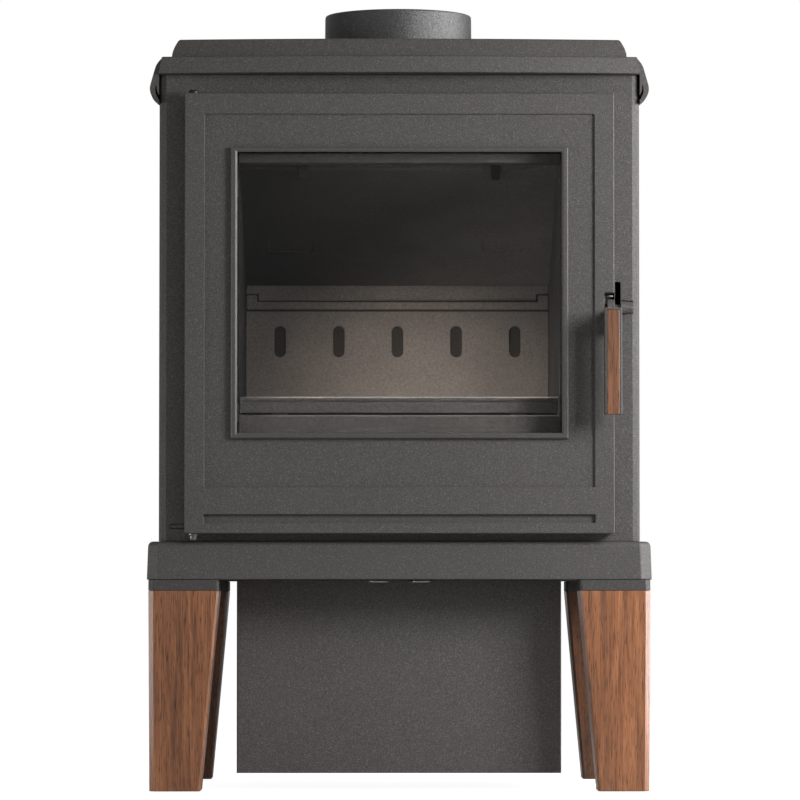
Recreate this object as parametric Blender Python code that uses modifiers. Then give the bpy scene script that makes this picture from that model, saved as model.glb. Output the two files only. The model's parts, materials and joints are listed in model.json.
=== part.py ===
"""A wood burning stove: cast body and base tray on four wooden legs, with a
glazed door, a lift-up door handle and two air slides.  Metres, +Z up, the
front faces -Y, and the origin is on the floor under the middle of the stove."""
import math

import bmesh
import bpy
from mathutils import Matrix

# ---------------------------------------------------------------- driving sizes
GAP = 0.0003                # air left between touching pieces
FRONT = -0.17675            # Y of the body's front face
LEG_TOP = 0.1997
CAP_TOP = 0.2103
BASE_BOTTOM = 0.2108
BASE_TOP = 0.2488
LID_BOTTOM = 0.7165
LID_TOP = 0.7333
TIER_TOP = 0.7515
RIM_TOP = 0.7977
BASE_HALF = 0.2508          # half width of the base at its top
BASE_FRONT = -0.010         # depths are measured back from the body's front face
BASE_BACK = 0.414
BODY_HALF = 0.2405
BODY_BACK = 0.402
PLATE = 0.008               # front plate thickness
REAR = 0.005                # rear panel thickness
SIDE = 0.004                # side panel thickness
SHELL = 0.0068              # thickness of the top of the hollow castings
BODY_CORNER = 0.0073        # rounding of the body's two front edges
TOP_BOW = 0.013             # how far the fronts of the two top plates bow forward

LINER_IN = 0.1612           # half width inside the firebox
LINER_OUT = 0.190
FIREBOX_FLOOR = 0.310
FLUE = (0, 0.205)           # X and depth of the flue's middle
FLUE_BORE = 0.0690
FIREBOX_REAR = 0.344        # depth of the rear lining's face
BAFFLE_FRONT = 0.075        # depths of the baffle's two edges
BAFFLE_BACK = 0.3665
BAFFLE_LOW = 0.5262         # underside height where the baffle meets the rear lining
BAFFLE_RISE = 0.3740        # rise of the baffle for each metre towards the front

DOOR_HALF = 0.2140
DOOR_BOTTOM = 0.2565
DOOR_TOP = 0.6957
DOOR_FACE = -0.024          # depth of the door's front and back faces
DOOR_REAR = -0.003
PANEL_HALF = 0.1944         # sunk panel of the door
PANEL_BOTTOM = 0.3026
PANEL_TOP = 0.6748
PANEL_SUNK = 0.003
WINDOW_HALF = 0.1619
WINDOW_BOTTOM = 0.3561
WINDOW_TOP = 0.6371
GLASS_MARGIN = 0.012        # how far the glass runs behind the frame
HINGE_X = -0.2055
HINGE_DEPTH = -0.014
HINGE_TABS = (0.2638, 0.6740)   # mid heights of the two hinge brackets
PIN_R = 0.003

HANDLE_X = 0.21135          # middle of the grip
PIVOT_DEPTH = -0.011
PIVOT_Z = 0.4824
GRIP_BOTTOM = 0.3738
GRIP_TOP = 0.4796
GRIP_HALF = 0.00875

LEG_OUT = 0.2504            # outer face of the legs from the middle
LEG_WIDE = 0.0707           # leg width at the top and at the floor
LEG_NARROW = 0.0512
LEG_DRAFT = 0.0013          # how far the outer face leans in at the floor
LEG_FRONT = -0.009          # depth of the front legs' front face
LEG_BACK = 0.413            # depth of the rear legs' rear face
SCREEN_HALF = 0.1638
SCREEN_DEPTH = 0.060
SLIDE_X = 0.0213

# ---------------------------------------------------------------- materials
COLOURS = {
    "painted_casting": ((0.105, 0.101, 0.098), 0.62, 0.25),
    "collar_paint": ((0.075, 0.073, 0.071), 0.48, 0.25),
    "firebox_iron": ((0.085, 0.080, 0.076), 0.75, 0.3),
    "walnut": ((0.24, 0.105, 0.052), 0.55, 0.0),
    "steel": ((0.45, 0.45, 0.46), 0.3, 1.0),
    "dark_steel": ((0.03, 0.03, 0.03), 0.5, 0.6),
    "glass": ((0.03, 0.03, 0.03), 0.05, 0.0),
    "rope_seal": ((0.06, 0.058, 0.055), 0.95, 0.0),
}


def clear_scene():
    for obj in list(bpy.data.objects):
        bpy.data.objects.remove(obj)


def new_collection(name):
    group = bpy.data.collections.new(name)
    bpy.context.scene.collection.children.link(group)
    return group


def make_material(name):
    colour, roughness, metallic = COLOURS[name]
    mat = bpy.data.materials.new(name)
    mat.use_nodes = True
    shader = mat.node_tree.nodes["Principled BSDF"]
    shader.inputs["Base Color"].default_value = (*colour, 1.0)
    shader.inputs["Roughness"].default_value = roughness
    shader.inputs["Metallic"].default_value = metallic
    return mat


clear_scene()
PARTS = new_collection("wood_burning_stove")
CUTTERS = new_collection("cutters")


# ---------------------------------------------------------------- small tools
def put(obj, name, group):
    """Name an object and move it into one of the two collections."""
    obj.name = name
    obj.data.name = name
    for old in list(obj.users_collection):
        old.objects.unlink(obj)
    group.objects.link(obj)
    return obj


def finish(obj, material):
    """Give a sub-part its own material."""
    mat = make_material(material)
    mat.name = obj.name + "_" + material
    obj.data.materials.clear()
    obj.data.materials.append(mat)
    return obj


def box(name, x, depth, z, group=PARTS):
    """A box from its X, depth and Z spans."""
    spans = (x, (FRONT + depth[0], FRONT + depth[1]), z)
    centre = [(low + high) / 2 for low, high in spans]
    bpy.ops.mesh.primitive_cube_add(size=1, location=centre)
    obj = bpy.context.object
    for vert in obj.data.vertices:
        for axis, (low, high) in enumerate(spans):
            vert.co[axis] *= high - low
    return put(obj, name, group)


def rod(name, radius, length, centre, axis="Z", sides=32, radius_end=None, group=PARTS):
    """A round bar or cone about X, Y or Z; centre is (x, depth, z)."""
    turn = {"Z": (0, 0, 0), "Y": (math.pi / 2, 0, 0), "X": (0, math.pi / 2, 0)}[axis]
    end = radius if radius_end is None else radius_end
    place = (centre[0], FRONT + centre[1], centre[2])
    bpy.ops.mesh.primitive_cone_add(vertices=sides, radius1=radius, radius2=end,
                                    depth=length, location=place, rotation=turn)
    obj = bpy.context.object
    smooth(obj)
    return put(obj, name, group)


def smooth(obj):
    obj.data.shade_smooth()
    obj.data.set_sharp_from_angle(angle=math.radians(35))


def turned(name, profile, centre, steps=40, group=PARTS):
    """A turned ring or pin: profile is (radius, height) down its outer side first."""
    mesh = bpy.data.meshes.new(name)
    verts = [(r, 0, z) for r, z in profile]
    edges = [(i, i + 1) for i in range(len(verts) - 1)]
    closed = profile[0][0] > 0
    if closed:
        edges.append((len(verts) - 1, 0))
    mesh.from_pydata(verts, edges, [])
    obj = bpy.data.objects.new(name, mesh)
    group.objects.link(obj)
    obj.location = (centre[0], FRONT + centre[1], centre[2])
    screw = obj.modifiers.new("turn", "SCREW")
    screw.steps = steps
    screw.render_steps = steps
    screw.use_merge_vertices = True
    screw.merge_threshold = 0.00005
    screw.use_smooth_shade = True
    return obj


def outline(name, points, thickness, plane, middle, group=PARTS):
    """A flat outline made solid.  plane XY takes (x, depth) points, XZ takes (x, z)
    and YZ takes (depth, z); middle is the place of its mid-thickness."""
    curve = bpy.data.curves.new(name, "CURVE")
    curve.dimensions = "2D"
    curve.fill_mode = "BOTH"
    curve.extrude = thickness / 2
    line = curve.splines.new("POLY")
    line.points.add(len(points) - 1)
    line.use_cyclic_u = True
    for point, (u, v) in zip(line.points, points):
        point.co = (u, v, 0, 1)
    flat = bpy.data.objects.new(name + "_outline", curve)
    bpy.context.scene.collection.objects.link(flat)
    frames = {
        "XY": Matrix.Translation((0, FRONT, middle)),
        "XZ": Matrix.Translation((0, FRONT + middle, 0)) @ Matrix.Rotation(math.pi / 2, 4, "X"),
        "YZ": Matrix.Translation((middle, FRONT, 0)) @ Matrix.Rotation(math.pi / 2, 4, "Z")
        @ Matrix.Rotation(math.pi / 2, 4, "X"),
    }
    flat.matrix_world = frames[plane]
    bpy.context.view_layer.update()
    mesh = bpy.data.meshes.new_from_object(flat.evaluated_get(bpy.context.evaluated_depsgraph_get()))
    shape = bmesh.new()
    shape.from_mesh(mesh)
    bmesh.ops.remove_doubles(shape, verts=shape.verts, dist=0.00001)
    bmesh.ops.recalc_face_normals(shape, faces=shape.faces)
    shape.to_mesh(mesh)
    shape.free()
    obj = bpy.data.objects.new(name, mesh)
    obj.matrix_world = frames[plane]
    group.objects.link(obj)
    bpy.data.objects.remove(flat)
    mesh.name = name
    return obj


def boolean(obj, other, operation):
    """Cut or join with a Boolean that keeps its other object as a guide."""
    if other.name in PARTS.objects:
        put(other, other.name, CUTTERS)
    other.hide_render = True
    other.display_type = "WIRE"
    step = obj.modifiers.new(operation.lower(), "BOOLEAN")
    step.operation = operation
    step.object = other
    step.solver = "EXACT"
    return obj


def cut(obj, other):
    return boolean(obj, other, "DIFFERENCE")


def join(obj, other):
    return boolean(obj, other, "UNION")


def cut_box(obj, x, depth, z):
    tool = box(obj.name + "_cutter", x, depth, z, CUTTERS)
    return cut(obj, tool)


def bevel_edges(obj, width, segments, pick):
    """Bevel the edges that pick(a, b) chooses from their two end points."""
    shape = bmesh.new()
    shape.from_mesh(obj.data)
    edges = [e for e in shape.edges if pick(e.verts[0].co, e.verts[1].co)]
    bmesh.ops.bevel(shape, geom=edges, offset=width, segments=segments,
                    profile=0.5, affect="EDGES")
    shape.to_mesh(obj.data)
    shape.free()
    return obj


def upright(a, b):
    return abs(a.x - b.x) + abs(a.y - b.y) < 1e-6


def arc(centre, radius, start, end, steps):
    """Points along an arc, angles in degrees."""
    angles = [math.radians(start + (end - start) * i / steps) for i in range(steps + 1)]
    return [(centre[0] + radius * math.cos(a), centre[1] + radius * math.sin(a)) for a in angles]


def both(low, high):
    """The left and the right span of a mirrored pair."""
    return (("left", (-high, -low)), ("right", (low, high)))


# ---------------------------------------------------------------- legs and base
def make_legs():
    """Wooden legs whose inner faces taper, each under a cast cap."""
    half = LEG_WIDE / 2
    for end, face, inward in (("front", LEG_FRONT, 1), ("rear", LEG_BACK, -1)):
        for side, hand in (("left", 1), ("right", -1)):
            middle = (-hand * (LEG_OUT - half), face + inward * half)
            for kind, low, high in (("leg", 0, LEG_TOP), ("leg_cap", LEG_TOP + GAP, CAP_TOP)):
                name = f"{kind}_{end}_{side}"
                x = (middle[0] - half, middle[0] + half)
                depth = (middle[1] - half, middle[1] + half)
                obj = box(name, x, depth, (low, high))
                if kind == "leg":
                    taper_leg(obj, hand, inward)
                bevel_edges(obj, 0.005, 1, lambda a, b: abs(a.z - b.z) > 0.005)
                finish(obj, "walnut" if kind == "leg" else "painted_casting")


def taper_leg(obj, hand, inward):
    """Draw the leg's faces in at the floor, the inner two the most."""
    for vert in [v for v in obj.data.vertices if v.co.z < 0]:
        if vert.co.x * hand > 0:
            vert.co.x -= hand * (LEG_WIDE - LEG_DRAFT - LEG_NARROW)
        else:
            vert.co.x += hand * LEG_DRAFT
        if vert.co.y * inward > 0:
            vert.co.y -= inward * (LEG_WIDE - LEG_NARROW)


def make_base():
    """The base tray: a cast plate with a skirt, hollow underneath."""
    base = box("base_plate", (-BASE_HALF, BASE_HALF), (BASE_FRONT, BASE_BACK),
               (BASE_BOTTOM, BASE_TOP))
    for vert in base.data.vertices:
        if vert.co.z < 0:
            vert.co.x *= 1.0055
    bevel_edges(base, 0.011, 1, lambda a, b: abs(a.z - b.z) > 0.02)
    bevel_edges(base, 0.004, 2, lambda a, b: min(a.z, b.z) > 0.0189)
    ceiling = BASE_TOP - SHELL
    cut_box(base, (-0.140, 0.140), (BASE_FRONT + 0.007, BASE_BACK - 0.007), (0.2, ceiling))
    for side, x in both(0.165, 0.243):
        cut_box(base, x, (0.075, 0.329), (0.2, ceiling))
    finish(base, "painted_casting")


def make_plinth_screen():
    """A folded screen that hangs from the base between the legs."""
    low = 0.0161
    high = BASE_BOTTOM - GAP
    screen = box("plinth_screen", (-SCREEN_HALF, SCREEN_HALF),
                 (SCREEN_DEPTH, SCREEN_DEPTH + 0.240), (low, high))
    bevel_edges(screen, 0.003, 2, lambda a, b: upright(a, b) and a.y < 0)
    wall = SCREEN_HALF - 0.003
    cut_box(screen, (-wall, wall), (SCREEN_DEPTH + 0.003, 0.4), (0, high - 0.003))
    cut_box(screen, (-wall + 0.022, wall - 0.022), (SCREEN_DEPTH + 0.003, 0.4),
            (high - 0.004, 0.3))
    finish(screen, "painted_casting")


def make_air_controls():
    """Two pull slides with round knobs under the base's front edge, and their air box."""
    slide_low = BASE_BOTTOM - 0.0003
    slide_high = slide_low + 0.0045
    for name, x in (("primary", -SLIDE_X), ("secondary", SLIDE_X)):
        knob = turned(f"{name}_air_knob", (
            (0, 0.2105), (0.0105, 0.2105), (0.0110, 0.2100), (0.0110, 0.2082), (0.0105, 0.2077),
            (0, 0.2077)), (x, 0.0105, 0), 32)
        finish(knob, "steel")
        slide = box(f"{name}_air_slide", (x - 0.006, x + 0.006), (0.026, 0.180),
                    (slide_low, slide_high))
        tail = box(f"{name}_tail", (x - 0.0045, x + 0.0045), (0.0219, 0.050),
                   (0.2078, slide_low + 0.001), CUTTERS)
        join(slide, tail)
        finish(slide, "dark_steel")
    box_low = slide_high + GAP
    air_box = box("air_box", (-0.060, 0.060), (0.055, 0.240), (box_low, BASE_TOP - SHELL - GAP))
    cut_box(air_box, (-0.058, 0.058), (0.057, 0.238), (box_low + 0.002, 0.3))
    for x in (-SLIDE_X, SLIDE_X):
        cut_box(air_box, (x - 0.004, x + 0.004), (0.075, 0.165), (0.2, box_low + 0.01))
    finish(air_box, "dark_steel")
    strap = box("slide_strap", (-0.040, 0.040), (0.100, 0.114), (slide_low - 0.0022, slide_high))
    cut_box(strap, (-0.036, 0.036), (0.09, 0.12), (slide_low - GAP, 0.3))
    finish(strap, "dark_steel")


# ---------------------------------------------------------------- body and top
def make_body():
    z = (BASE_TOP + GAP, LID_BOTTOM - GAP)
    front = box("front_plate", (-BODY_HALF, BODY_HALF), (0, PLATE), z)
    bevel_edges(front, BODY_CORNER, 2, lambda a, b: upright(a, b) and a.y < 0)
    cut_box(front, (-0.182, 0.182), (-0.1, 0.1), (0.292, 0.668))
    cut_box(front, (0.2156, 0.2212), (-0.1, 0.1), (0.455, 0.5084))
    finish(front, "painted_casting")
    rear = box("rear_panel", (-BODY_HALF, BODY_HALF), (BODY_BACK - REAR, BODY_BACK), z)
    bevel_edges(rear, 0.003, 2, lambda a, b: upright(a, b) and a.y > 0)
    finish(rear, "painted_casting")
    for side, x in both(BODY_HALF - SIDE, BODY_HALF):
        panel = box(f"side_panel_{side}", x, (PLATE + GAP, BODY_BACK - REAR - GAP), z)
        finish(panel, "painted_casting")
    cover = rod("rear_flue_cover", 0.085, 0.006, (0, BODY_BACK + GAP + 0.003, 0.62), "Y", 48)
    finish(cover, "painted_casting")
    bolt = rod("rear_cover_bolt", 0.008, 0.0045, (0, BODY_BACK + 2 * GAP + 0.00825, 0.62), "Y", 6)
    finish(bolt, "dark_steel")


def bowed(half, front, back):
    """Plan of a plate whose front edge bows forward by TOP_BOW in the middle."""
    across = [i / 12 - 1 for i in range(25)]
    edge = [(half * u, front - TOP_BOW * (1 - u * u)) for u in across]
    return edge + [(half, back), (-half, back)]


def make_top():
    """The two-step top plate with a curled ear at each front corner, and the flue collar."""
    lid = outline("top_plate", bowed(0.2410, -0.012, 0.408), LID_TOP - LID_BOTTOM,
                  "XY", (LID_TOP + LID_BOTTOM) / 2)
    for vert in lid.data.vertices:
        if vert.co.z > 0:
            vert.co.x *= 0.986
    for side, hand in (("left", -1), ("right", 1)):
        join(lid, outline(f"ear_{side}", ear_section(hand, True), 0.020, "XZ", 0.007, CUTTERS))
        join(lid, outline(f"ear_back_{side}", ear_section(hand, False), 0.011, "XZ", 0.0215, CUTTERS))
    cut_box(lid, (-0.224, 0.224), (0.012, 0.390), (0.7, LID_TOP - SHELL))
    bore = rod("top_flue_bore", FLUE_BORE - 0.0005, 0.2, (*FLUE, LID_TOP), "Z", 40, group=CUTTERS)
    cut(lid, bore)
    finish(lid, "painted_casting")
    low = LID_TOP + GAP
    tier = outline("top_tier", bowed(0.2277, -0.007, 0.400), TIER_TOP - low,
                   "XY", (low + TIER_TOP) / 2)
    for vert in tier.data.vertices:
        if vert.co.z > 0:
            vert.co.x *= 0.968
            vert.co.y = 0.1965 + (vert.co.y - 0.1965) * 0.972
    cut_box(tier, (-0.205, 0.205), (0.014, 0.380), (0.7, TIER_TOP - SHELL))
    cut(tier, bore)
    finish(tier, "painted_casting")
    foot = TIER_TOP + GAP
    collar = turned("flue_collar", (
        (0.0745, RIM_TOP), (0.0758, RIM_TOP - 0.0013), (0.0764, foot), (FLUE_BORE, foot),
        (FLUE_BORE, RIM_TOP)), (*FLUE, 0), 48)
    finish(collar, "collar_paint")
    flange = turned("flue_flange", (
        (0.0930, foot + 0.006), (0.0940, foot + 0.005), (0.0940, foot), (0.0767, foot),
        (0.0767, foot + 0.006)), (*FLUE, 0), 48)
    finish(flange, "collar_paint")


def ear_section(hand, slotted):
    """Section of a curled ear: its outer side down, then back up, with or without its crescent slot."""
    outer = ((0.2330, 0.7325), (0.2374, 0.7330), (0.2415, 0.7287), (0.2442, 0.7241),
             (0.2465, 0.7164), (0.2485, 0.7095), (0.2498, 0.7041), (0.2498, 0.7002),
             (0.2485, 0.6956), (0.2454, 0.6914), (0.2408, 0.6874))
    slot = ((0.2408, 0.6909), (0.2427, 0.6940), (0.2443, 0.6982), (0.2446, 0.7020),
            (0.2437, 0.7062), (0.2431, 0.7048), (0.2427, 0.7000), (0.2408, 0.6958))
    root = ((0.2408, 0.7180), (0.2330, 0.7180))
    points = [(hand * x, z) for x, z in outer + (slot if slotted else ()) + root]
    return points if hand > 0 else points[::-1]


# ---------------------------------------------------------------- firebox
def baffle_under(depth):
    """Height of the baffle's underside at a depth."""
    return BAFFLE_LOW + BAFFLE_RISE * (FIREBOX_REAR - depth)


def make_firebox():
    wall = (FIREBOX_FLOOR + GAP, LID_BOTTOM - GAP)
    for side, x in both(0.196, 0.200):
        finish(box(f"firebox_wall_{side}", x, (PLATE + GAP, 0.374), wall), "firebox_iron")
    finish(box("firebox_wall_rear", (-0.1957, 0.1957), (0.370, 0.374), wall), "firebox_iron")
    for side, x in both(LINER_IN, LINER_OUT):
        top = [(d, baffle_under(d) - GAP) for d in (0.366, 0.030)]
        points = [(0.030, FIREBOX_FLOOR + GAP), (0.366, FIREBOX_FLOOR + GAP)] + top
        liner = outline(f"lining_{side}", points, LINER_OUT - LINER_IN, "YZ", sum(x) / 2)
        finish(liner, "firebox_iron")
    rear_half = LINER_IN - GAP
    rear = box("lining_rear", (-rear_half, rear_half), (FIREBOX_REAR, 0.366),
               (FIREBOX_FLOOR + GAP, baffle_under(0.366) - GAP))
    for vert in rear.data.vertices:
        if vert.co.z > 0 and vert.co.y < 0:
            vert.co.z += BAFFLE_RISE * (0.366 - FIREBOX_REAR)
    for step in range(-2, 3):
        slot = slot_cutter(0.0626 * step)
        cut(rear, slot)
    finish(rear, "firebox_iron")
    make_ledge()
    make_baffle()
    make_hearth()


def slot_cutter(x):
    """An upright air slot with round ends through the rear lining."""
    radius = 0.0059
    low = arc((x, 0.4490 + radius), radius, 180, 360, 8)
    high = arc((x, 0.4822 - radius), radius, 0, 180, 8)
    return outline("air_slot", low + high, 0.06, "XZ", 0.355, CUTTERS)


def make_ledge():
    """The cast ledge across the rear lining, with turned-up ends."""
    right = ((0.1497, 0.508), (0.1497, 0.515), (0.1607, 0.515), (0.1607, 0.500))
    left = [(-x, z) for x, z in reversed(right)]
    ledge = outline("rear_ledge", list(right)[::-1] + left[::-1], 0.0075, "XZ",
                    FIREBOX_REAR - GAP - 0.00375)
    finish(ledge, "firebox_iron")


def make_baffle():
    """The sloping baffle over the fire, with two lugs under its front edge."""
    thick = 0.010
    under = [(d, baffle_under(d)) for d in (BAFFLE_BACK, BAFFLE_FRONT)]
    over = [(d, z + thick) for d, z in reversed(under)]
    baffle = outline("baffle", under + over, 2 * LINER_OUT, "YZ", 0)
    for x in (-0.098, 0.098):
        lug = outline("baffle_lug", ((x - 0.004, -0.012), (x + 0.004, -0.012), (x + 0.006, 0.004),
                                     (x - 0.006, 0.004)), 0.005, "XZ", 0, CUTTERS)
        lug.location.y = FRONT + BAFFLE_FRONT + 0.006
        lug.location.z = baffle_under(BAFFLE_FRONT)
        join(baffle, lug)
    finish(baffle, "firebox_iron")
    strip = box("air_wash_plate", (-0.161, 0.161), (PLATE + GAP, 0.036), (0.6286, 0.6383))
    cut_box(strip, (-0.159, 0.159), (PLATE + 0.003, 0.1), (0.6306, 0.7))
    finish(strip, "firebox_iron")


def make_hearth():
    """Hearth plate, grate, ash pan, front brick and log guard."""
    low = 0.302
    hearth = box("hearth_plate", (-0.2350, 0.2350), (PLATE + GAP, 0.380), (low, FIREBOX_FLOOR))
    cut_box(hearth, (-0.110, 0.110), (0.100, 0.290), (0.306, 0.4))
    cut_box(hearth, (-0.102, 0.102), (0.108, 0.282), (0.2, 0.4))
    finish(hearth, "firebox_iron")
    grate = box("grate", (-0.1095, 0.1095), (0.1005, 0.2895), (0.306 + GAP, FIREBOX_FLOOR))
    for step in range(9):
        middle = 0.195 + 0.0175 * (step - 4)
        cut_box(grate, (-0.095, 0.095), (middle - 0.004, middle + 0.004), (0.2, 0.4))
    finish(grate, "firebox_iron")
    floor = BASE_TOP + GAP
    pan = box("ash_pan", (-0.098, 0.098), (0.105, 0.285), (floor, low - 0.007))
    cut_box(pan, (-0.096, 0.096), (0.107, 0.283), (floor + 0.002, 0.4))
    finish(pan, "dark_steel")
    brick = box("front_brick", (-LINER_IN + GAP, LINER_IN - GAP), (PLATE + GAP, 0.0297),
                (FIREBOX_FLOOR + GAP, 0.3755))
    bevel_edges(brick, 0.003, 1, lambda a, b: min(a.z, b.z) > 0.01 and a.y < 0 and b.y < 0)
    finish(brick, "firebox_iron")
    guard = box("log_guard", (-0.1595, 0.1595), (0.020, 0.029), (0.3782, 0.3943))
    bevel_edges(guard, 0.003, 1, lambda a, b: min(a.z, b.z) > 0.001 and a.y < 0 and b.y < 0)
    for x in (-0.120, 0.120):
        foot = box("guard_foot", (x - 0.008, x + 0.008), (0.021, 0.028), (0.3755 + GAP, 0.380), CUTTERS)
        join(guard, foot)
    finish(guard, "firebox_iron")


# ---------------------------------------------------------------- door
def ring(name, inner, width, depth, group=PARTS):
    """A rectangular ring standing in the XZ plane; inner is (half width, low, high)."""
    half, low, high = inner
    obj = box(name, (-half - width, half + width), depth, (low - width, high + width), group)
    through = (depth[0] - 0.1, depth[1] + 0.1)
    cut_box(obj, (-half, half), through, (low, high))
    return obj


def make_door():
    door = box("door_frame", (-DOOR_HALF, DOOR_HALF), (DOOR_FACE, DOOR_REAR),
               (DOOR_BOTTOM, DOOR_TOP))
    bevel_edges(door, 0.0015, 1, lambda a, b: (a.y < 0 and b.y < 0) or (a.x < 0 and b.x < 0 and upright(a, b)))
    cut_box(door, (-PANEL_HALF, PANEL_HALF), (-0.1, DOOR_FACE + PANEL_SUNK),
            (PANEL_BOTTOM, PANEL_TOP))
    cut_box(door, (-0.1951, 0.1951), (-0.1, DOOR_FACE + 0.0045), (0.2671, 0.2754))
    cut_box(door, (-WINDOW_HALF, WINDOW_HALF), (-0.1, 0.1), (WINDOW_BOTTOM, WINDOW_TOP))
    margin = GLASS_MARGIN + 0.002
    cut_box(door, (-WINDOW_HALF - margin, WINDOW_HALF + margin), (-0.017, 0.1),
            (WINDOW_BOTTOM - margin, WINDOW_TOP + margin))
    cut(door, ring("seal_groove", (0.1865, 0.2850, 0.6745), 0.010, (-0.010, 0.1), CUTTERS))
    for middle in HINGE_TABS:
        cut_box(door, (-0.3, -0.1985), (-0.021, 0.1), (middle - 0.0045, middle + 0.0045))
    cut(door, rod("hinge_bore", PIN_R + GAP, 0.040, (HINGE_X, HINGE_DEPTH, DOOR_TOP - 0.010), group=CUTTERS))
    cut(door, rod("hinge_bore", PIN_R + GAP, 0.040, (HINGE_X, HINGE_DEPTH, DOOR_BOTTOM), group=CUTTERS))
    cut_box(door, (0.2040, 0.3), (-0.1, 0.1), (0.4620, 0.4966))
    cut(door, rod("pivot_bore", PIN_R + GAP, 0.012, (0.2040, PIVOT_DEPTH, PIVOT_Z), "X", group=CUTTERS))
    cut(door, rod("stop_bore", 0.0012 + GAP, 0.008, (0.2040, PIVOT_DEPTH, 0.4935), "X", 16, group=CUTTERS))
    finish(door, "painted_casting")
    make_window()
    make_hinges()


def make_window():
    """Raised bead, glass on its gasket, four clips and the door's rope seal."""
    window = (WINDOW_HALF - 0.0002, WINDOW_BOTTOM + 0.0002, WINDOW_TOP - 0.0002)
    face = DOOR_FACE + PANEL_SUNK
    bead = box("window_bead", (-0.1682, 0.1682), (face - GAP - 0.005, face - GAP), (0.3509, 0.6414))
    bevel_edges(bead, 0.0025, 1, lambda a, b: a.y < 0 and b.y < 0)
    cut_box(bead, (-window[0], window[0]), (-0.1, 0.1), window[1:])
    finish(bead, "painted_casting")
    glass_half = WINDOW_HALF + GLASS_MARGIN
    low = WINDOW_BOTTOM - GLASS_MARGIN
    high = WINDOW_TOP + GLASS_MARGIN
    gasket = ring("glass_gasket", (WINDOW_HALF + 0.002, WINDOW_BOTTOM - 0.002, WINDOW_TOP + 0.002),
                  0.009, (-0.0167, -0.0147))
    finish(gasket, "rope_seal")
    finish(box("door_glass", (-glass_half, glass_half), (-0.0144, -0.0104), (low, high)), "glass")
    clip_heights = (("lower", 0.3690, 0.3860), ("upper", 0.5940, 0.6100))
    for side, x in both(WINDOW_HALF - 0.001, 0.1815):
        for end, bottom, top in clip_heights:
            clip = box(f"glass_clip_{end}_{side}", x, (DOOR_REAR + GAP, DOOR_REAR + GAP + 0.0015),
                       (bottom, top))
            inner = min(abs(v) for v in x)
            reach = (inner, inner + 0.009) if x[0] > 0 else (-inner - 0.009, -inner)
            prong = box("clip_prong", reach, (-0.0101, DOOR_REAR + GAP + 0.001), (bottom, top), CUTTERS)
            join(clip, prong)
            finish(clip, "dark_steel")
    seal = ring("door_seal", (0.1868, 0.2847, 0.6748), 0.0092, (-0.0097, -GAP))
    finish(seal, "rope_seal")


def make_hinges():
    """Fixed brackets on the front plate and the door's two pins on one upright axis."""
    for name, middle in zip(("lower", "upper"), HINGE_TABS):
        eye = arc((HINGE_X, HINGE_DEPTH), 0.006, 180, 360, 12)
        points = eye + [(HINGE_X + 0.006, -GAP), (HINGE_X - 0.003, -GAP),
                        (HINGE_X - 0.003, HINGE_DEPTH + 0.0052)]
        bracket = outline(f"hinge_bracket_{name}", points, 0.0033, "XY", middle)
        cut(bracket, rod("bracket_bore", PIN_R + GAP, 0.02, (HINGE_X, HINGE_DEPTH, middle), group=CUTTERS))
        finish(bracket, "dark_steel")
    head = DOOR_TOP + GAP
    upper = turned("hinge_pin_upper", (
        (0, head + 0.0036), (0.0042, head + 0.0036), (0.005, head + 0.0028), (0.005, head),
        (PIN_R, head), (PIN_R, DOOR_TOP - 0.0285), (0, DOOR_TOP - 0.0285)),
        (HINGE_X, HINGE_DEPTH, 0), 24)
    finish(upper, "steel")
    collar = DOOR_BOTTOM - GAP
    lower = turned("hinge_pin_lower", (
        (0, DOOR_BOTTOM + 0.018), (PIN_R, DOOR_BOTTOM + 0.018), (PIN_R, collar), (0.005, collar),
        (0.005, collar - 0.0024), (0.0038, collar - 0.0024), (0.0038, 0.2498), (0, 0.2498)),
        (HINGE_X, HINGE_DEPTH, 0), 24)
    finish(lower, "steel")


# ---------------------------------------------------------------- handle
def make_handle():
    """A channel with a wooden grip on a level shaft; its tongue enters the front plate."""
    left = HANDLE_X - GRIP_HALF
    right = HANDLE_X + GRIP_HALF
    lever = box("handle_lever", (left, right), (-0.060, -0.046), (GRIP_BOTTOM, GRIP_TOP))
    cut_box(lever, (left + 0.0021, right - 0.0022), (-0.1, -0.048), (0.3, GRIP_TOP - 0.0018))
    join(lever, box("arm", (0.2078, 0.2142), (-0.0465, PIVOT_DEPTH), (0.4690, 0.4794), CUTTERS))
    join(lever, rod("stop_boss", 0.009, 0.0215, (0.2099, -0.0355, 0.4651), "Y", group=CUTTERS))
    join(lever, rod("barrel", 0.0078, 0.0074, (0.2110, PIVOT_DEPTH, PIVOT_Z), "X", group=CUTTERS))
    join(lever, rod("neck", 0.0026, 0.0085, (0.21795, PIVOT_DEPTH, PIVOT_Z), "X", 24, group=CUTTERS))
    join(lever, rod("cone", 0.0064, 0.0122, (0.2266, PIVOT_DEPTH, PIVOT_Z), "X", 32, 0.0053, CUTTERS))
    join(lever, box("tongue", (0.2163, 0.2202), (PIVOT_DEPTH - 0.003, 0.014), (0.4704, 0.4812), CUTTERS))
    cut(lever, rod("lever_bore", PIN_R + GAP, 0.0068, (0.2103, PIVOT_DEPTH, PIVOT_Z), "X", group=CUTTERS))
    finish(lever, "painted_casting")
    grip = box("handle_grip", (left + 0.0024, right - 0.0025), (-0.0605, -0.0483),
               (GRIP_BOTTOM, GRIP_TOP - 0.0021))
    bevel_edges(grip, 0.0008, 1, lambda a, b: a.y < 0 and b.y < 0)
    finish(grip, "walnut")
    finish(rod("handle_pivot_pin", PIN_R, 0.0145, (0.2062, PIVOT_DEPTH, PIVOT_Z), "X"), "steel")
    finish(rod("handle_stop_pin", 0.0012, 0.0125, (0.2070, PIVOT_DEPTH, 0.4935), "X", 16), "steel")


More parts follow.
